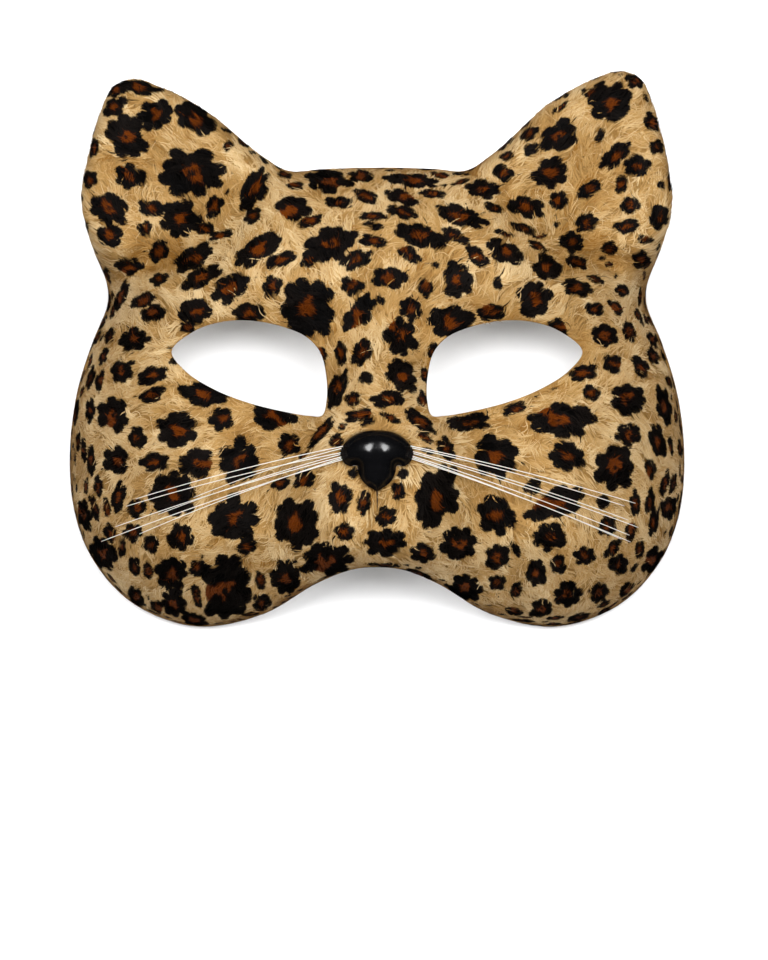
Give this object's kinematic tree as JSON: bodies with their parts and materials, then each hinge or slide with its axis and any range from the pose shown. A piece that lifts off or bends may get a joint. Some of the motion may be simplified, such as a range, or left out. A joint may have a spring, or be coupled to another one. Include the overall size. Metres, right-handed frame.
{
  "type": "velvet cat mask",
  "caption": "Moulded half mask of a cat with upright ears, almond eye openings, a glossy black nose and white whiskers, covered in leopard-print pile fabric.",
  "frame": {"origin": "under the middle of the mask, on the surface that its rim lies on", "axes": "+X to the right as a viewer sees the face, +Y towards the ears, +Z out of the face"},
  "size_m": [0.186, 0.1669, 0.0927],
  "materials": {
    "plush": "soft pile with a leopard print",
    "nose_plastic": "glossy",
    "whisker_nylon": "satin filament"
  },
  "bodies": {
    "root": {"mask_shell": "plush", "nose": "nose_plastic", "whisker_left_1": "whisker_nylon", "whisker_left_2": "whisker_nylon", "whisker_left_3": "whisker_nylon", "whisker_left_4": "whisker_nylon", "whisker_left_5": "whisker_nylon", "whisker_left_6": "whisker_nylon", "whisker_left_7": "whisker_nylon", "whisker_right_1": "whisker_nylon", "whisker_right_2": "whisker_nylon", "whisker_right_3": "whisker_nylon", "whisker_right_4": "whisker_nylon", "whisker_right_5": "whisker_nylon", "whisker_right_6": "whisker_nylon", "whisker_right_7": "whisker_nylon"}
  },
  "joints": []
}
